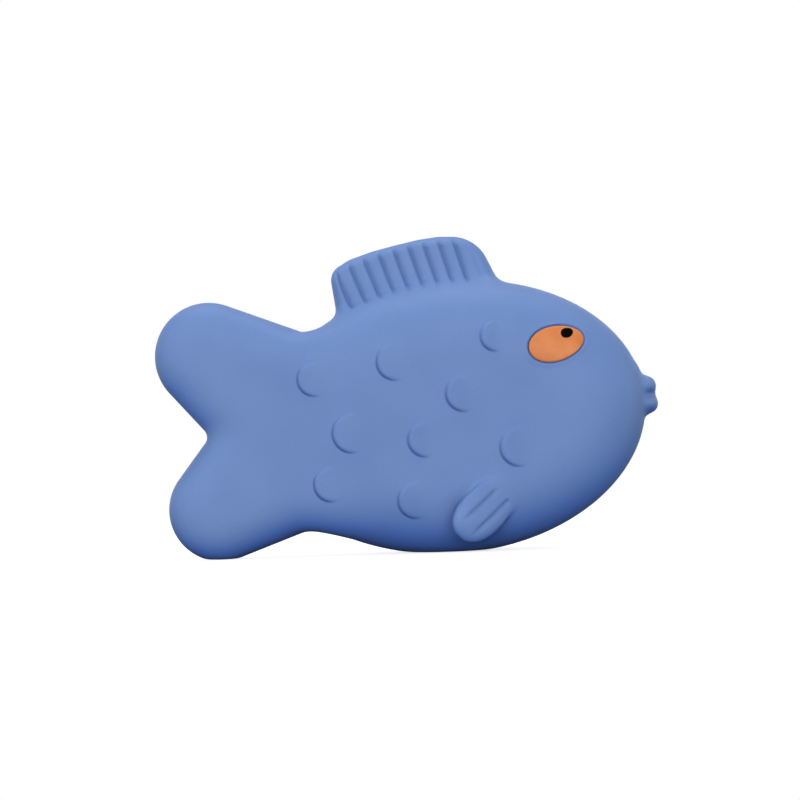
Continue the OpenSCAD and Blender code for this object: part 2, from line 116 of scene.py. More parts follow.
def body_and_tail(p, inset=0.0):
    """Pillow over the outline of body and tail, flat on the flanks and rounded towards its edge."""
    nose_reach, rear_reach, half_height = 52.7, 55.9, 38.0
    upper_lobe = (fish_point(-34.1, -2.6), 25.4, (-55.1, 56.85), 15.1)
    lower_lobe = (fish_point(-37.4, 1.2), 24.8, (-53.2, 13.85), 14.5)
    lobe_blend, tail_blend, flank_soften = 1.2, 1.4, 0.6
    tail_round, body_round, round_run = 13, 22, (-48, -18)
    tail_half_thick, body_half_thick, swell_run, nose_run = 10, 19, (-64, -12), (5, 52)
    u, v = fish_axes(p)
    reach = np.where(u > 0, nose_reach, rear_reach)
    rho = np.maximum(np.hypot(u / reach, v / half_height), least)
    body = (rho - 1) * rho / np.hypot(u / reach**2, v / half_height**2)
    flat = p[:, [0, 2]]
    soften = flank_soften * np.abs(p[:, 1])
    tail = soft_min(tapered(flat, *upper_lobe), tapered(flat, *lower_lobe), lobe_blend + soften)
    outline = soft_min(body, tail, tail_blend + soften) + inset
    edge = tail_round + (body_round - tail_round) * ease(*round_run, u)
    swell = (body_half_thick - tail_half_thick) * ease(*swell_run, u)
    half_thick = tail_half_thick + swell - ease(*nose_run, u) - inset
    return cushion(np.maximum(1 + outline / edge, 0), 1 / edge, p[:, 1], half_thick)


def back_fin(p):
    """Thick plate with its outline drawn round nine circles and a rounded edge."""
    crest_half_thick, thickening_run, edge, deep = 4.5, (48, 36), 2.6, -5.0
    rounds = [
        (-26.2, 41.7, 4.5), (-22.4, 40.2, 7.5), (-17.0, 41.35, 7.6),
        (-10.5, 42.3, 7.6), (-4.5, 43.0, 7.6), (0.2, 43.15, 7.6),
        (3.0, 39.4, 11.0), (11.2, 32.2, 5.8), (-24.3, 29.5, 5.8),
    ]
    u, v = fish_axes(p)
    flat = np.column_stack([u, v])
    half_thick = crest_half_thick + ease(*thickening_run, v)
    inside, outline = np.ones(len(u), bool), np.full(len(u), 1e9)
    for a, b in zip(rounds, rounds[1:] + rounds[:1]):
        inside &= (u - a[0]) * (b[1] - a[1]) - (v - a[1]) * (b[0] - a[0]) >= 0
        outline = np.minimum(outline, tapered(flat, a[:2], a[2], b[:2], b[2]))
    rho = np.maximum(1 + np.where(inside, deep, outline) / edge, 0)
    return (np.hypot(rho, p[:, 1] / half_thick) - 1) * edge


def lips(p):
    """Two soft rolls across the nose, and a low one sunk in the nose above them.

    The dip between the two is filled on the parting plane and open at both sides.
    """
    half_width, flatten = 6.8, 0.05
    middle_blend, side_blend, opening = 2.8, 1.4, 0.35
    crease_blend = np.maximum(middle_blend - opening * np.abs(p[:, 1]), side_blend)
    rolls = []
    for along, rise, r in ((53.4, 2.3, 2.8), (53.4, -2.7, 2.8), (49.0, 6.3, 2.4)):
        x, z = fish_point(along, rise)
        ahead, above = (p[:, 0] - x) / r, (p[:, 2] - z) / (r - flatten)
        reach = np.sqrt(ahead**2 + (p[:, 1] / half_width) ** 2 + above**2)
        rolls.append((reach - 1) * r)
    return soft_min(rolls[0], rolls[1], crease_blend), rolls[2]


def flank_point(u, v):
    """Place and outward direction on the right flank."""
    x, z = fish_point(u, v)
    deepest, halvings, d = 40.0, 40, 0.2

    def depth(x, z):
        low, high = 0.0, deepest
        for _ in range(halvings):
            mid = (low + high) / 2
            within = body_and_tail(np.array([[x, mid, z]]))[0] < 0
            low, high = (mid, high) if within else (low, mid)
        return low

    fall_ahead = (depth(x + d, z) - depth(x - d, z)) / (2 * d)
    fall_above = (depth(x, z + d) - depth(x, z - d)) / (2 * d)
    out = -np.array([fall_ahead, 1, fall_above])
    return np.array([x, -depth(x, z), z]), out / np.linalg.norm(out)


paddle_root_sink, paddle_tip_lift = 0.4, 2.7
paddle_root, paddle_root_out = flank_point(7.6, -23.0)
paddle_tip, paddle_tip_out = flank_point(0.6, -27.6)
paddle_root = paddle_root - paddle_root_sink * paddle_root_out
paddle_tip = paddle_tip + paddle_tip_lift * paddle_tip_out
paddle_length = np.linalg.norm(paddle_tip - paddle_root)
paddle_way = (paddle_tip - paddle_root) / paddle_length
paddle_out = paddle_root_out + paddle_tip_out
paddle_out = paddle_out - paddle_way * (paddle_out @ paddle_way)
paddle_out = paddle_out / np.linalg.norm(paddle_out)
paddle_across = np.cross(paddle_out, paddle_way)


def side_fin(p):
    """Leaf-shaped paddle that grows out of the flank and stands clear of it at its round end.

    Also gives the share of the way from the paddle's root to its tip.
    """
    power, half_length, half_width = 2.3, 9.9, 6.5
    middle_along, middle_across = 5.55, 0.4
    root_half_thick, tip_thickening = 1.4, 1.2
    d = p - paddle_root
    s, t, n = d @ paddle_way, d @ paddle_across, d @ paddle_out
    share = np.clip(s / paddle_length, 0, 1)
    a, b = np.abs(s - middle_along) / half_length, np.abs(t - middle_across) / half_width
    rho = np.maximum(a**power + b**power, 1e-6) ** (1 / power)
    slope = np.hypot(a ** (power - 1) / half_length, b ** (power - 1) / half_width)
    slope = slope * rho ** (1 - power)
    return cushion(rho, slope, n, root_half_thick + tip_thickening * share), share


def toy_form(p):
    """Outer form of the toy without its fine relief, below 0 inside."""
    fin_blend, fin_soften, lip_blend, floor_blend = 2.4, 0.1, 2.5, 0.6
    paddle_root_blend, paddle_crisper = 1.4, 0.9
    q = on_right(p)
    f = soft_min(body_and_tail(q), back_fin(q), fin_blend + fin_soften * np.abs(q[:, 1]))
    for roll in lips(q)[::-1]:
        f = soft_min(f, roll, lip_blend)
    fin, share = side_fin(q)
    f = soft_min(f, fin, paddle_root_blend - paddle_crisper * share)
    return -soft_min(-f, q[:, 2], floor_blend)


squeaker_x = 10.123


def hollow_form(p):
    """Inside of the wall, with the collar that grips the squeaker left standing."""
    wall, collar_r, collar_top = 2.8, 6.9, 8.0
    collar = np.maximum(np.hypot(p[:, 0] - squeaker_x, p[:, 1]) - collar_r, p[:, 2] - collar_top)
    return np.maximum(body_and_tail(p, wall), -collar)


def skin_net(field, low, high, step):
    """Closed mesh of four-sided faces where a field passes 0, on a grid of the given step."""
    axes = [np.arange(a, b + step, step) for a, b in zip(low, high)]
    shape = tuple(len(a) for a in axes)
    grid = np.stack(np.meshgrid(*axes, indexing="ij"), axis=-1)
    value = field(grid.reshape(-1, 3)).reshape(shape)
    cells = tuple(n - 1 for n in shape)
    total, count = np.zeros(cells + (3,)), np.zeros(cells)
    for axis in range(3):
        ahead = tuple(slice(1, None) if i == axis else slice(None) for i in range(3))
        here = tuple(slice(None, -1) if i == axis else slice(None) for i in range(3))
        a, b = value[here], value[ahead]
        cut = (a < 0) != (b < 0)
        share = np.where(cut, a / np.where(cut, a - b, 1), 0)
        place = grid[here] + share[..., None] * (grid[ahead] - grid[here])
        for i in (0, 1):
            for j in (0, 1):
                pick = [slice(None)] * 3
                for other, k in zip([o for o in range(3) if o != axis], (i, j)):
                    pick[other] = slice(k, cells[other] + k)
                total += np.where(cut[tuple(pick)][..., None], place[tuple(pick)], 0)
                count += cut[tuple(pick)]
    live = count > 0
    number = np.full(cells, -1)
    number[live] = np.arange(live.sum())
    points = total[live] / count[live][:, None]
    faces = []
    for axis in range(3):
        b, c = (axis + 1) % 3, (axis + 2) % 3
        pick = [slice(1, -1)] * 3
        pick[axis] = slice(0, -1)
        ahead = list(pick)
        ahead[axis] = slice(1, None)
        inner, outer = value[tuple(pick)] < 0, value[tuple(ahead)] < 0
        for cut, turned in ((inner & ~outer, False), (~inner & outer, True)):
            at = np.argwhere(cut)
            at[:, [b, c]] += 1
            ring = []
            for db, dc in ((-1, -1), (0, -1), (0, 0), (-1, 0)):
                cell = at.copy()
                cell[:, b] += db
                cell[:, c] += dc
                ring.append(number[tuple(cell.T)])
            faces.append(np.column_stack(ring[::-1] if turned else ring))
    return points, np.concatenate(faces)


def slope_of(field, p, d=0.01):
    """Value of a field at each point, and how it rises along the three axes."""
    f = field(p)
    return f, np.column_stack([(field(p + d * e) - f) / d for e in np.eye(3)])


def settle(field, p, rounds):
    """Moves points on to the surface of a field."""
    least_slope, longest_step = 0.04, 1.0
    for _ in range(rounds):
        f, g = slope_of(field, p)
        step = f / np.maximum((g * g).sum(axis=1), least_slope)
        p = p - np.clip(step, -longest_step, longest_step)[:, None] * g
    return p


def even_out(field, p, faces, rounds):
    """Spaces the points evenly over the surface."""
    pull, settle_rounds = 0.5, 2
    ends = np.concatenate([faces[:, [i, (i + 1) % 4]] for i in range(4)])
    ends = np.concatenate([ends, ends[:, ::-1]])
    here, there = ends.T
    degree = np.bincount(here, minlength=len(p))
    for _ in range(rounds):
        mean = np.column_stack([np.bincount(here, p[there, k], len(p)) for k in range(3)])
        p = settle(field, p + pull * (mean / degree[:, None] - p), settle_rounds)
    return p


# Fine relief of the skin: the raised rear rims of the scales, the grooves of the back fin and the
# side fins, and the sockets of the eyes, all in the same rubber. They are engraved in the mould,
# so they are heights over the plain form. The grooves, the sockets and the lower rims of the scales
# also get a share of painted shade, a darker blue in the colour, and the flank round the paddle's
# free end gets a painted shadow.
def heading(degrees):
    """Direction on the flank, turned from the nose towards the back."""
    return math.cos(math.radians(degrees)), math.sin(math.radians(degrees))


scales = np.array([
    (-38.4, 15.2, 4.8), (-15.6, 17.3, 5.2), (12.7, 21.0, 4.2),
    (-29.8, -0.9, 5.5), (2.2, 6.4, 5.1), (-9.9, -5.0, 4.9),
    (-37.2, -14.3, 4.9), (-14.4, -21.4, 5.1), (15.7, -10.1, 5.5),
])
# Some of these numbers set the painted shade: which side of each scale's rim is darker, and how far
# and how strongly the darker blue spreads.
scale_rear, scale_painted_shade_side = heading(176), heading(207)
scale_height, scale_lip, scale_front, scale_full, scale_rise = 0.9, 1.3, -0.6, 0.9, 1.5
scale_painted_shade_run, painted_shade_inside, painted_shade_outside = (0.1, 0.95), 0.7, 0.3
flank_facing, fin_facing, fin_foot = 0.35, (0.3, 0.75), 33
fin_ray_depth, fin_ray_painted_shade, fin_ray_walls, fin_ray_fades = 0.85, 0.8, (0.45, 0.8), (3.4, 0.9)
fin_rays = []
for k in range(9):
    ray_top = (-29.8 + 4.27 * k, 51.3 - 0.15 * (k - 6) ** 2)
    ray_foot = (-25.7 + 4.13 * k, 36.8 - 0.068 * (k - 7) ** 2)
    fin_rays.append((ray_top, ray_foot, 1.0))
fin_rays.append(((9.0, 47.0), (11.7, 36.9), 0.25))
paddle_rays = (((8.6, -20.7), (-3.0, -29.1)), ((12.0, -23.6), (-0.9, -33.3)))
paddle_ray_depth, paddle_ray_painted_shade, paddle_ray_margin = 0.55, 0.55, 0.3
paddle_ray_walls, paddle_ray_fades = (0.4, 0.6), (2.5, 5.5)
paddle_painted_shadow, paddle_painted_shadow_reach, paddle_painted_shadow_run = 1.4, 2.0, (0.05, 0.5)
eye_place, eye_turn, eye_egg = (29.3, 17.0), math.radians(7), 0.1
socket_size, socket_depth, socket_wall = (16.2, 10.3), 0.6, (0.12, -0.15)
socket_lip, socket_lip_place, socket_lip_width = 0.12, 0.45, 0.4
socket_painted_shade, socket_painted_shade_run = 0.75, (0.25, -0.1)


def ray_relief(u, v, top, foot, left, right, fades):
    """Share of a groove's depth, with a steep left wall and a gentle right one."""
    narrow, widening, bottom_r, overrun = 0.4, 8, 0.25, -0.4
    w = np.subtract(foot, top)
    length = np.hypot(*w)
    w = w / length
    along = (u - top[0]) * w[0] + (v - top[1]) * w[1]
    across = (u - top[0]) * -w[1] + (v - top[1]) * w[0]
    gentle = narrow + (right - narrow) * ease(0, widening, along)
    left_wall = -((across / left) ** 2)
    right_wall = (bottom_r - np.hypot(across, bottom_r)) / gentle
    depth = np.exp(np.where(across < 0, left_wall, right_wall))
    return depth * ease(overrun, fades[0], along) * ease(overrun, fades[1], length - along)


def off_socket(u, v):
    """About how far a place lies outside the egg-shaped outline of the eye's socket."""
    mean_reach = 5.2
    du, dv = u - eye_place[0], v - eye_place[1]
    a = (du * math.cos(eye_turn) + dv * math.sin(eye_turn)) / (socket_size[0] / 2)
    b = (dv * math.cos(eye_turn) - du * math.sin(eye_turn)) / (socket_size[1] / 2)
    return (np.hypot(a, b / (1 - eye_egg * np.clip(a, -1, 1))) - 1) * mean_reach


def relief(p, out):
    """Height of the fine relief over the plain form, and the share of painted shade that a point
    holds.
    """
    u, v = fish_axes(p)
    height, crease = np.zeros(len(p)), np.zeros(len(p))
    flank = np.abs(out[:, 1]) > flank_facing
    for su, sv, r in scales:
        du, dv = u - su, v - sv
        reach = np.hypot(du, dv)
        rear = (du * scale_rear[0] + dv * scale_rear[1]) / r
        low = (du * scale_painted_shade_side[0] + dv * scale_painted_shade_side[1]) / r
        share = ease(scale_front, scale_full, rear) ** scale_rise
        over_rim = np.maximum(reach - r + scale_lip, 0) / scale_lip
        lip = np.sqrt(np.clip(1 - over_rim**2, 0, 1))
        height += np.where(flank, scale_height * share * lip, 0)
        # Painted shade: darker blue just inside and outside the lower rim of each scale.
        rim_painted_shade = np.exp(-(((reach - r) / np.where(reach < r, painted_shade_inside, painted_shade_outside)) ** 2))
        crease += np.where(flank, ease(*scale_painted_shade_run, low) * rim_painted_shade, 0)
    on_fin = ease(*fin_facing, np.abs(out[:, 1])) * (v > fin_foot)
    for top, foot, strength in fin_rays:
        ray = strength * on_fin * ray_relief(u, v, top, foot, *fin_ray_walls, fin_ray_fades)
        height -= fin_ray_depth * ray
        # Painted shade along the groove.
        crease += fin_ray_painted_shade * ray**1.5
    paddle, paddle_share = side_fin(on_right(p))
    # Painted shadow on the flank round the paddle's free end, strongest near its tip.
    painted_shadow_falloff = np.exp(-((np.maximum(paddle, 0) / paddle_painted_shadow_reach) ** 2))
    crease += paddle_painted_shadow * paddle_share**2 * painted_shadow_falloff * ease(*paddle_painted_shadow_run, paddle)
    on_paddle = (paddle < paddle_ray_margin) & flank
    for top, foot in paddle_rays:
        ray = ray_relief(u, v, top, foot, *paddle_ray_walls, paddle_ray_fades)
        ray = np.where(on_paddle, ray, 0)
        height -= paddle_ray_depth * ray
        # Painted shade along the paddle's groove.
        crease += paddle_ray_painted_shade * ray**2
    eye = off_socket(u, v)
    lip = socket_lip * np.exp(-(((eye - socket_lip_place) / socket_lip_width) ** 2))
    height += np.where(flank, -socket_depth * ease(*socket_wall, eye) + lip, 0)
    # Painted shade in the eye's socket.
    crease += np.where(flank, socket_painted_shade * ease(*socket_painted_shade_run, eye), 0)
    return height, np.clip(crease, 0, 1)


def near_relief(p, fine):
    """Which places need a closer mesh: all the relief, or in the fine round only its sharp rims."""
    margin, groove_share = (0.9, 0.6) if fine else (1.6, 0.02)
    inside_rim, wide_walls, short_fades = 0.3, (1.0, 0.9), (0.1, 0.1)
    u, v = fish_axes(p)
    need = np.zeros(len(p), bool)
    for su, sv, r in scales:
        reach = np.hypot(u - su, v - sv)
        rear = ((u - su) * scale_rear[0] + (v - sv) * scale_rear[1]) / r
        need |= (np.abs(reach - r + inside_rim) < margin) & (rear > scale_front)
    need |= np.abs(off_socket(u, v)) < margin
    for top, foot, _ in fin_rays:
        ray = ray_relief(u, v, top, foot, *wide_walls, short_fades)
        need |= (ray > groove_share) & (v > fin_foot)
    if not fine:
        on_back_fin = (v > 33.5) & (u > -33) & (u < 18)
        on_lips = u > 49.5
        need |= on_back_fin | on_lips | (side_fin(on_right(p))[0] < margin)
    return need


def closer_mesh(p, faces, fine):
    """Divides the faces near the fine relief once."""
    mesh = bpy.data.meshes.new("closer")
    mesh.from_pydata(p.tolist(), [], faces)
    form = bmesh.new()
    form.from_mesh(mesh)
    bpy.data.meshes.remove(mesh)
    middles = np.array([f.calc_center_median()[:] for f in form.faces])
    need = near_relief(middles, fine)
    form.faces.ensure_lookup_table()
    edges = list({e for i in np.flatnonzero(need) for e in form.faces[i].edges})
    bmesh.ops.subdivide_edges(form, edges=edges, cuts=1, use_grid_fill=True)
    bmesh.ops.triangulate(form, faces=[f for f in form.faces if len(f.verts) > 4])
    form.verts.index_update()
    points = np.array([v.co[:] for v in form.verts])
    rings = [[v.index for v in f.verts] for f in form.faces]
    form.free()
    return points, rings


def new_piece(name, data):
    """Object of a mesh, lamp or camera, placed in the scene."""
    piece = bpy.data.objects.new(name, data)
    bpy.context.collection.objects.link(piece)
    return piece


skin_points, skin_faces = skin_net(
    toy_form, low=(-72, -24.7, -1.1), high=(72, 24.7, 90), step=0.95
)
skin_points = settle(toy_form, skin_points, rounds=4)
skin_points = even_out(toy_form, skin_points, skin_faces, rounds=4)
skin_rings = skin_faces.tolist()
for fine in (False, True):
    skin_points, skin_rings = closer_mesh(skin_points, skin_rings, fine)
    skin_points = settle(toy_form, skin_points, rounds=4)
skin_out = slope_of(toy_form, skin_points)[1]
skin_out = skin_out / np.maximum(np.linalg.norm(skin_out, axis=1), 1e-6)[:, None]
skin_height, skin_crease = relief(skin_points, skin_out)
skin_points = skin_points + skin_out * skin_height[:, None]

hollow_points, hollow_faces = skin_net(
    hollow_form, low=(-70, -19, 0), high=(69, 19, 78), step=2.0
)
hollow_points = even_out(hollow_form, hollow_points, hollow_faces, rounds=2)
hollow_rings = (hollow_faces[:, ::-1] + len(skin_points)).tolist()

skin_mesh = bpy.data.meshes.new("rubber_skin")
all_points = np.concatenate([skin_points, hollow_points]) * MM
skin_mesh.from_pydata(all_points.tolist(), [], skin_rings + hollow_rings)
# Share of painted shade at each point of the skin, kept on the mesh for its material.
all_creases = np.concatenate([skin_crease, np.zeros(len(hollow_points))]).astype(np.float32)
crease_layer = skin_mesh.attributes.new("crease", "FLOAT", "POINT")
crease_layer.data.foreach_set("value", all_creases)
rubber_skin = new_piece("rubber_skin", skin_mesh)

# Seat of the squeaker: a stepped round hole in the same rubber, through the belly's wall and its
# collar. A pin in the mould leaves it, with a wide step for the cup's flange and a bore that grips
# the cup's barrel.
flange_seat_r, barrel_seat_r, seat_sides = 5.6, 4.3, 96
seat_foot, flange_seat_top, seat_top = -2.0, 1.6, 9.5
crisp_angle, crisp_margin = 0.6, 0.1


def close_rings(form, rings):
    """Walls between neighbouring rings of points, and a face over each end."""
    for low, high in zip(rings, rings[1:]):
        for i in range(len(low)):
            j = (i + 1) % len(low)
            form.faces.new((low[i], low[j], high[j], high[i]))
    form.faces.new(rings[0][::-1])
    form.faces.new(rings[-1])


seat_form = bmesh.new()
seat_rings = []
for r, z in ((flange_seat_r, seat_foot), (flange_seat_r, flange_seat_top),
             (barrel_seat_r, flange_seat_top), (barrel_seat_r, seat_top)):
    angles = np.linspace(0, 2 * math.pi, seat_sides, endpoint=False)
    ring = [((squeaker_x + r * math.cos(a)) * MM, r * math.sin(a) * MM, z * MM) for a in angles]
    seat_rings.append([seat_form.verts.new(place) for place in ring])
close_rings(seat_form, seat_rings)
bmesh.ops.recalc_face_normals(seat_form, faces=seat_form.faces[:])
seat_mesh = bpy.data.meshes.new("seat_cutter")
seat_form.to_mesh(seat_mesh)
seat_form.free()
seat_cutter = new_piece("seat_cutter", seat_mesh)
cut = rubber_skin.modifiers.new("seat", "BOOLEAN")
cut.operation, cut.solver, cut.object = "DIFFERENCE", "EXACT", seat_cutter
with bpy.context.temp_override(
    object=rubber_skin, active_object=rubber_skin, selected_objects=[rubber_skin]
):
    bpy.ops.object.modifier_apply(modifier="seat")
bpy.data.objects.remove(seat_cutter)
rubber_skin.data.shade_smooth()
skin_form = bmesh.new()
skin_form.from_mesh(rubber_skin.data)
for e in skin_form.edges:
    x, y, z = (e.verts[0].co + e.verts[1].co) / (2 * MM)
    beside_seat = math.hypot(x - squeaker_x, y) < flange_seat_r + crisp_margin
    in_seat = beside_seat and z < seat_top + crisp_margin
    if in_seat and len(e.link_faces) == 2 and e.calc_face_angle(0) > crisp_angle:
        e.smooth = False
skin_form.to_mesh(rubber_skin.data)
skin_form.free()


# Finish of the skin: matt blue rubber, coloured through, so it needs no paint. The pigment is
# slightly uneven, and the surface carries a very fine grain and a faint line where the mould
# parted.
# Painted shade is mixed into the colour: a deeper, darker blue on the faces that turn down, and a
# darker blue in the grooves and sockets, under the scales' lower rims and round the paddle's free
# end.
def new_material(name):
    """Material, its node tree and its shader."""
    material = bpy.data.materials.new(name)
    material.use_nodes = True
    return material, material.node_tree, material.node_tree.nodes["Principled BSDF"]


def linear(r, g, b):
    """Colour as seen on a screen, 0 to 255, as the shader's own values."""
    darkest = 10.3
    return tuple(
        c / 12.92 / 255 if c < darkest else ((c / 255 + 0.055) / 1.055) ** 2.4 for c in (r, g, b)
    )


def add_noise(tree, scale, detail):
    """Cloudy pattern that keeps its place on the piece."""
    where = tree.nodes.get("Texture Coordinate") or tree.nodes.new("ShaderNodeTexCoord")
    noise = tree.nodes.new("ShaderNodeTexNoise")
    noise.inputs["Scale"].default_value = scale
    noise.inputs["Detail"].default_value = detail
    tree.links.new(where.outputs["Object"], noise.inputs["Vector"])
    return noise.outputs["Fac"]


def add_tones(tree, pattern, dark, light):
    """Colour that runs from dark to light with a pattern."""
    ramp = tree.nodes.new("ShaderNodeValToRGB")
    for stop, place, colour in zip(ramp.color_ramp.elements, (0.3, 0.7), (dark, light)):
        stop.position = place
        stop.color = (*colour, 1)
    tree.links.new(pattern, ramp.inputs["Fac"])
    return ramp.outputs["Color"]


def add_mix(tree, share, a, b, blend="MIX"):
    """Colour a with a share of b, where b is a colour or another node's."""
    mix = tree.nodes.new("ShaderNodeMix")
    mix.data_type = "RGBA"
    mix.blend_type = blend
    if isinstance(share, float):
        mix.inputs[0].default_value = share
    else:
        tree.links.new(share, mix.inputs[0])
    tree.links.new(a, mix.inputs[6])
    if isinstance(b, tuple):
        mix.inputs[7].default_value = (*b, 1)
    else:
        tree.links.new(b, mix.inputs[7])
    return mix.outputs[2]


def add_math(tree, operation, *terms):
    """Simple sum of one or two terms, each a number or another node's."""
    sum_node = tree.nodes.new("ShaderNodeMath")
    sum_node.operation = operation
    for socket, term in zip(sum_node.inputs, terms):
        if isinstance(term, float):
            socket.default_value = term
        else:
            tree.links.new(term, socket)
    return sum_node.outputs[0]


def add_range(tree, value, low=0.0, high=1.0, start=0.0, end=1.0, kind="LINEAR"):
    """Value that is low at start and high at end."""
    span = tree.nodes.new("ShaderNodeMapRange")
    span.interpolation_type = kind
    for name, level in (("From Min", start), ("From Max", end), ("To Min", low), ("To Max", high)):
        span.inputs[name].default_value = level
    tree.links.new(value, span.inputs["Value"])
    return span.outputs["Result"]


def add_bump(tree, shader, height, strength, distance):
    """Fine unevenness of a surface."""
    bump = tree.nodes.new("ShaderNodeBump")
    bump.inputs["Strength"].default_value = strength
    bump.inputs["Distance"].default_value = distance
    tree.links.new(height, bump.inputs["Height"])
    tree.links.new(bump.outputs["Normal"], shader.inputs["Normal"])


def split_axes(tree, vector):
    """X, Y and Z of a place or direction."""
    split = tree.nodes.new("ShaderNodeSeparateXYZ")
    tree.links.new(vector, split.inputs[0])
    return split.outputs


rubber, tree, shader = new_material("blue_rubber")
shader.inputs["Specular IOR Level"].default_value = 0.5
broad = add_tones(tree, add_noise(tree, 38, 3), linear(86, 118, 173), linear(91, 123, 178))
speckle = add_tones(tree, add_noise(tree, 900, 2), (0.97, 0.97, 0.97), (1.0, 1.0, 1.0))
pigment = add_mix(tree, 1.0, broad, speckle, "MULTIPLY")
coordinates = tree.nodes["Texture Coordinate"].outputs
facing = split_axes(tree, coordinates["Normal"])
# Painted shade: a deeper, darker blue on the faces that turn down.
painted_underside_shade = add_range(tree, facing["Z"], start=-0.1, end=-0.8, kind="SMOOTHSTEP")
pigment = add_mix(tree, painted_underside_shade, pigment, linear(66, 105, 184))
# Painted shade: darker blue by the share kept on the mesh, in grooves, sockets, under scale rims
# and round the paddle.
painted_shade_node = tree.nodes.new("ShaderNodeAttribute")
painted_shade_node.attribute_name = "crease"
painted_shade_share = add_math(tree, "MULTIPLY", painted_shade_node.outputs["Fac"], 0.45)
pigment = add_mix(tree, painted_shade_share, pigment, linear(38, 62, 128))
tree.links.new(pigment, shader.inputs["Base Color"])
matt = add_range(tree, add_noise(tree, 120, 4), 0.56, 0.68)
tree.links.new(matt, shader.inputs["Roughness"])
off_parting = add_math(tree, "ABSOLUTE", split_axes(tree, coordinates["Object"])["Y"])
mould_line = add_range(tree, off_parting, high=1.6, start=0.00045, end=0.0001, kind="SMOOTHSTEP")
grain = add_math(tree, "ADD", add_noise(tree, 1500, 3), mould_line)
add_bump(tree, shader, grain, strength=0.12, distance=0.0002)
rubber_skin.data.materials.append(rubber)
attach(rubber_skin, "skin")
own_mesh(rubber_skin)
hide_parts("body_skin")


# Painted eyes: orange paint fills the moulded socket of each flank, and a raised black dot is
# printed on it. Both are thin coats of flexible paint, so they flatten with the rubber that
# carries them.
def add_finish(tree, shader, tone_noise, dark, light, rough_noise, smooth, rough):
    """Tones and roughness in small patches, where each noise is a scale and a detail."""
    tones = add_tones(tree, add_noise(tree, *tone_noise), linear(*dark), linear(*light))
    tree.links.new(tones, shader.inputs["Base Color"])
    roughness = add_range(tree, add_noise(tree, *rough_noise), smooth, rough)
    tree.links.new(roughness, shader.inputs["Roughness"])


orange, tree, shader = new_material("orange_paint")
shader.inputs["Specular IOR Level"].default_value = 0.28
add_finish(tree, shader, tone_noise=(160, 4), dark=(192, 109, 55), light=(208, 129, 74),
           rough_noise=(400, 3), smooth=0.42, rough=0.55)
add_bump(tree, shader, add_noise(tree, 700, 3), strength=0.15, distance=0.0001)

black, tree, shader = new_material("black_paint")
shader.inputs["Specular IOR Level"].default_value = 0.01
add_finish(tree, shader, tone_noise=(500, 3), dark=(3, 3, 4), light=(8, 8, 8),
           rough_noise=(900, 3), smooth=0.4, rough=0.55)


def paint_patch(name, side, middle, length, width, profile, around=96):
    """Thin egg-shaped coat on the flank, from pairs of a share of its outline and a height."""
    start_y, rounds, step = -15.0, 12, np.array([0, 0.01, 0])
    turn = np.linspace(0, 2 * math.pi, around, endpoint=False)
    a, b = np.cos(turn), np.sin(turn) * (1 - eye_egg * np.cos(turn))
    points, faces = [], []
    for share, height in profile:
        du, dv = a * length / 2 * share, b * width / 2 * share
        u = middle[0] + du * math.cos(eye_turn) - dv * math.sin(eye_turn)
        v = middle[1] + du * math.sin(eye_turn) + dv * math.cos(eye_turn)
        x, z = fish_point(u, v)
        p = np.column_stack([x, np.full(around, start_y), z])
        for _ in range(rounds):
            f = toy_form(p)
            p[:, 1] -= f * (2 * step[1] / (toy_form(p + step) - toy_form(p - step)))
        out = slope_of(toy_form, p)[1]
        points.append(p + out / np.linalg.norm(out, axis=1)[:, None] * height)
    points = np.concatenate(points)
    last = (len(profile) - 1) * around
    for ring in range(0, last, around):
        for i in range(around):
            j = (i + 1) % around
            faces.append((ring + i, ring + around + i, ring + around + j, ring + j))
    faces.append(tuple(range(around)))
    faces.append(tuple(range(last, last + around))[::-1])
    if side == "left":
        points = points * np.array([1, -1, 1])
        faces = [f[::-1] for f in faces]
    mesh = bpy.data.meshes.new(name)
    mesh.from_pydata((points * MM).tolist(), [], faces)
    mesh.shade_smooth()
    return new_piece(name, mesh)


iris_size, pupil_size, pupil_place = (15.6, 9.7), (3.5, 2.75), (32.5, 19.5)
iris_profile = [(0.02, 0.22)] + [(k / 14, 0.22 - 0.12 * (k / 14) ** 2) for k in range(1, 14)]
iris_profile += [(0.95, 0.08), (0.975, 0.03), (0.99, -0.06), (1.0, -0.2)]
iris_profile += [(1.0, -0.5), (0.5, -0.5), (0.02, -0.5)]
pupil_profile = [(0.03, 0.36)] + [(k / 8, 0.36 - 0.03 * (k / 8) ** 2) for k in range(1, 7)]
pupil_profile += [(0.88, 0.32), (0.95, 0.28), (0.99, 0.22), (1.0, 0.14)]
pupil_profile += [(1.0, -0.2), (0.5, -0.2), (0.03, -0.2)]
for side in ("right", "left"):
    iris = paint_patch(side + "_iris_paint", side, eye_place, *iris_size, iris_profile)
    pupil = paint_patch(side + "_pupil_paint", side, pupil_place, *pupil_size, pupil_profile)
    for piece, node, coat in ((iris, "_iris", orange), (pupil, "_pupil", black)):
        piece.data.materials.append(coat)
        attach(piece, "skin")
        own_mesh(piece)
        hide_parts(side + node)

# Squeaker: a white plastic cup pushed into the belly, closed inside by a lid with air holes.
# The trough and the wedge that clamp the reed are of the same moulded plastic.
plastic, tree, shader = new_material("white_plastic")
add_finish(tree, shader, tone_noise=(250, 3), dark=(226, 226, 220), light=(234, 234, 229),
           rough_noise=(600, 3), smooth=0.34, rough=0.46)
add_bump(tree, shader, add_noise(tree, 2500, 2), strength=0.1, distance=0.0001)
for name in ("squeaker_case", "squeaker_lid", "reed_trough", "reed_wedge"):
    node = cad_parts[name]
    node.data.materials.clear()
    node.data.materials.append(plastic)

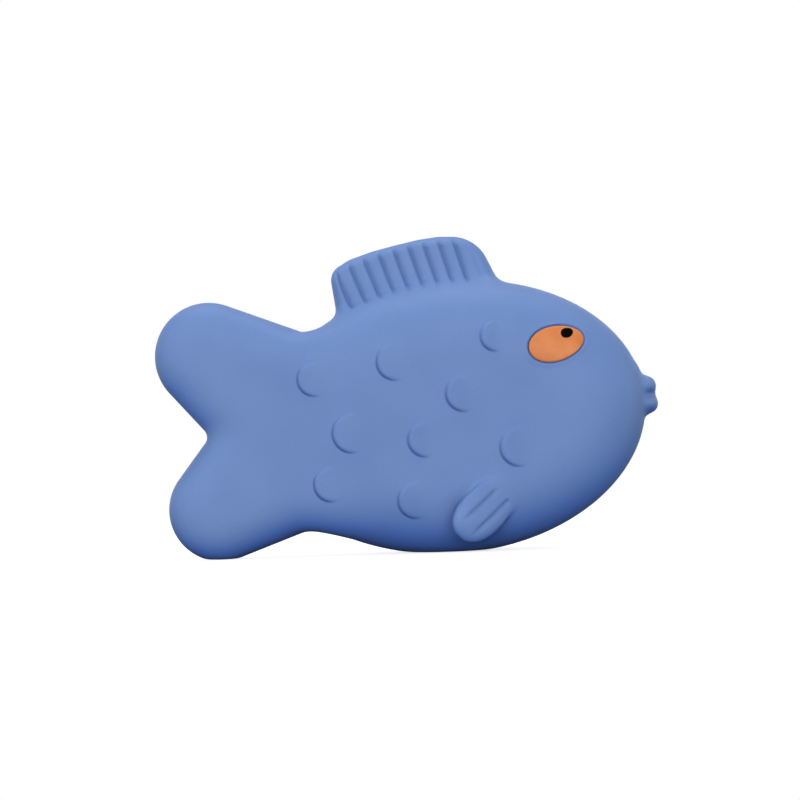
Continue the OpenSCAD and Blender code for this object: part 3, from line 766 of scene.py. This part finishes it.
# Reed: a strip of thin film, clamped at its foot, that flutters over the trough and makes the
# squeak. It is stamped from glossy sheet, with round corners at its free end, and bends above its
# clamped root.
film, tree, shader = new_material("reed_film")
add_finish(tree, shader, tone_noise=(800, 2), dark=(196, 206, 210), light=(208, 217, 220),
           rough_noise=(1800, 2), smooth=0.18, rough=0.3)
reed_middle, reed_half_width, reed_half_thick, reed_corner = 10.121, 1.7, 0.075, 0.6
reed_foot, reed_root, reed_length, reed_set = 1.5, 3.4, 9.4, math.radians(2.5)
straight_runs = np.linspace(0, reed_length - reed_corner, 40)
corner_runs = reed_length - reed_corner * np.linspace(0.9, 0, 8) ** 2
reed_form = bmesh.new()
reed_rings = []
for run in np.concatenate([straight_runs, corner_runs]):
    free = max(run - reed_root, 0)
    x = reed_middle + free * math.sin(reed_set)
    z = reed_foot + run - free + free * math.cos(reed_set)
    round_in = max(run - reed_length + reed_corner, 0)
    half = reed_half_width - reed_corner + math.sqrt(max(reed_corner**2 - round_in**2, 0))
    corners = ((-reed_half_thick, -half), (reed_half_thick, -half),
               (reed_half_thick, half), (-reed_half_thick, half))
    reed_rings.append([reed_form.verts.new(((x + dx) * MM, y * MM, z * MM)) for dx, y in corners])
close_rings(reed_form, reed_rings)
reed_mesh = bpy.data.meshes.new("reed_strip")
reed_form.to_mesh(reed_mesh)
reed_form.free()
reed_strip = new_piece("reed_strip", reed_mesh)
reed_mesh.materials.append(film)
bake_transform(reed_strip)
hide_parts("reed")

# Floor: one pale sheet under the toy. It reads as white paper to the camera and keeps the toy's
# shadow, and throws little light back on the underside.
floor_mesh = bpy.data.meshes.new("floor")
floor_corners = [(-6, -6, 0), (6, -6, 0), (6, 6, 0), (-6, 6, 0)]
floor_mesh.from_pydata(floor_corners, [], [(0, 1, 2, 3)])
floor = new_piece("floor", floor_mesh)


def add_matt(tree, grey):
    """Plain matt grey."""
    matt = tree.nodes.new("ShaderNodeBsdfDiffuse")
    matt.inputs["Color"].default_value = (grey, grey, grey, 1)
    return matt.outputs[0]


def add_white(tree, kind, strength):
    """Even white glow of a surface or of the room."""
    white = tree.nodes.new(kind)
    white.inputs["Color"].default_value = (1, 1, 1, 1)
    white.inputs["Strength"].default_value = strength
    return white.outputs[0]


def join_shaders(tree, kind, *parts):
    """Sum or mix of shaders, with its parts in the order of its sockets."""
    joined = tree.nodes.new(kind)
    for socket, part in zip(joined.inputs, parts):
        tree.links.new(part, socket)
    return joined.outputs[0]


paper, tree, shader = new_material("floor_paper")
tree.nodes.remove(shader)
rays = tree.nodes.new("ShaderNodeLightPath").outputs
seen = add_math(tree, "MAXIMUM", rays["Is Camera Ray"], rays["Is Transmission Ray"])
away = tree.nodes.new("ShaderNodeVectorMath")
away.operation = "LENGTH"
tree.links.new(tree.nodes.new("ShaderNodeTexCoord").outputs["Object"], away.inputs[0])
far_share = add_range(tree, away.outputs["Value"], start=0.12, end=0.5)
far_white = add_white(tree, "ShaderNodeEmission", 1.0)
near_toy = join_shaders(tree, "ShaderNodeAddShader", add_matt(tree, 0.6),
                        add_white(tree, "ShaderNodeEmission", 0.74))
bright = join_shaders(tree, "ShaderNodeMixShader", far_share, near_toy, far_white)
mirrored_share = add_math(tree, "MULTIPLY", rays["Is Glossy Ray"], far_share)
mirrored = join_shaders(tree, "ShaderNodeMixShader", mirrored_share, add_matt(tree, 0.2), far_white)
chosen = join_shaders(tree, "ShaderNodeMixShader", seen, mirrored, bright)
tree.links.new(chosen, tree.nodes["Material Output"].inputs["Surface"])
floor.data.materials.append(paper)

# Light: a white studio with wide soft boxes in front of the toy and behind it, and weaker ones
# overhead and at both ends. The box behind it doesn't mirror in the rubber, so the toy's outline
# has no bright rim.
world = bpy.data.worlds.new("studio")
bpy.context.scene.world = world
world.use_nodes = True
tree = world.node_tree
tree.nodes.remove(tree.nodes["Background"])
rays = tree.nodes.new("ShaderNodeLightPath").outputs
mirrored = add_math(tree, "MAXIMUM", rays["Is Glossy Ray"], rays["Is Transmission Ray"])
seen = add_math(tree, "MAXIMUM", rays["Is Camera Ray"], mirrored)
room = add_white(tree, "ShaderNodeBackground", 0.12)
white = add_white(tree, "ShaderNodeBackground", 1.0)
chosen = join_shaders(tree, "ShaderNodeMixShader", seen, room, white)
tree.links.new(chosen, tree.nodes["World Output"].inputs["Surface"])
toy_middle = (0, 0, 0.045)
for name, place, width, height, power in (
    ("front_box", (-0.15, -1.9, 0.36), 3.4, 0.7, 44.5),
    ("back_box", (0, 1.9, 0.42), 3.4, 0.7, 42.0),
    ("nose_box", (1.9, -0.2, 0.42), 1.2, 0.7, 8.0),
    ("tail_box", (-1.7, -0.6, 0.75), 1.2, 0.7, 8.0),
    ("top_box", (0.0, 0.05, 0.95), 0.9, 0.6, 5.4),
):
    lamp = bpy.data.lights.new(name, "AREA")
    lamp.shape, lamp.size, lamp.size_y, lamp.energy = "RECTANGLE", width, height, power
    box = new_piece(name, lamp)
    way = np.subtract(toy_middle, place)
    tilt, turn = math.acos(-way[2] / np.linalg.norm(way)), math.atan2(way[1], way[0]) - math.pi / 2
    box.location = place
    box.rotation_euler = (tilt, 0, turn)
    box.visible_glossy = name != "back_box"

# Camera: level with the toy and square to its right flank, rolled two degrees as in the photograph.
# It stands far back with a long lens, so the toy shows almost no perspective.
camera_distance, frame_width, roll = 1.2, 0.22424, math.radians(2.01)
camera_data = bpy.data.cameras.new("camera")
camera_data.sensor_width = 36.0
camera_data.lens = camera_data.sensor_width * camera_distance / frame_width
camera = new_piece("camera", camera_data)
camera.location = (-0.00201, -camera_distance, 0.04284)
camera.rotation_euler = (math.pi / 2, roll, 0)
bpy.context.scene.camera = camera
bpy.context.scene.view_settings.view_transform = "Standard"
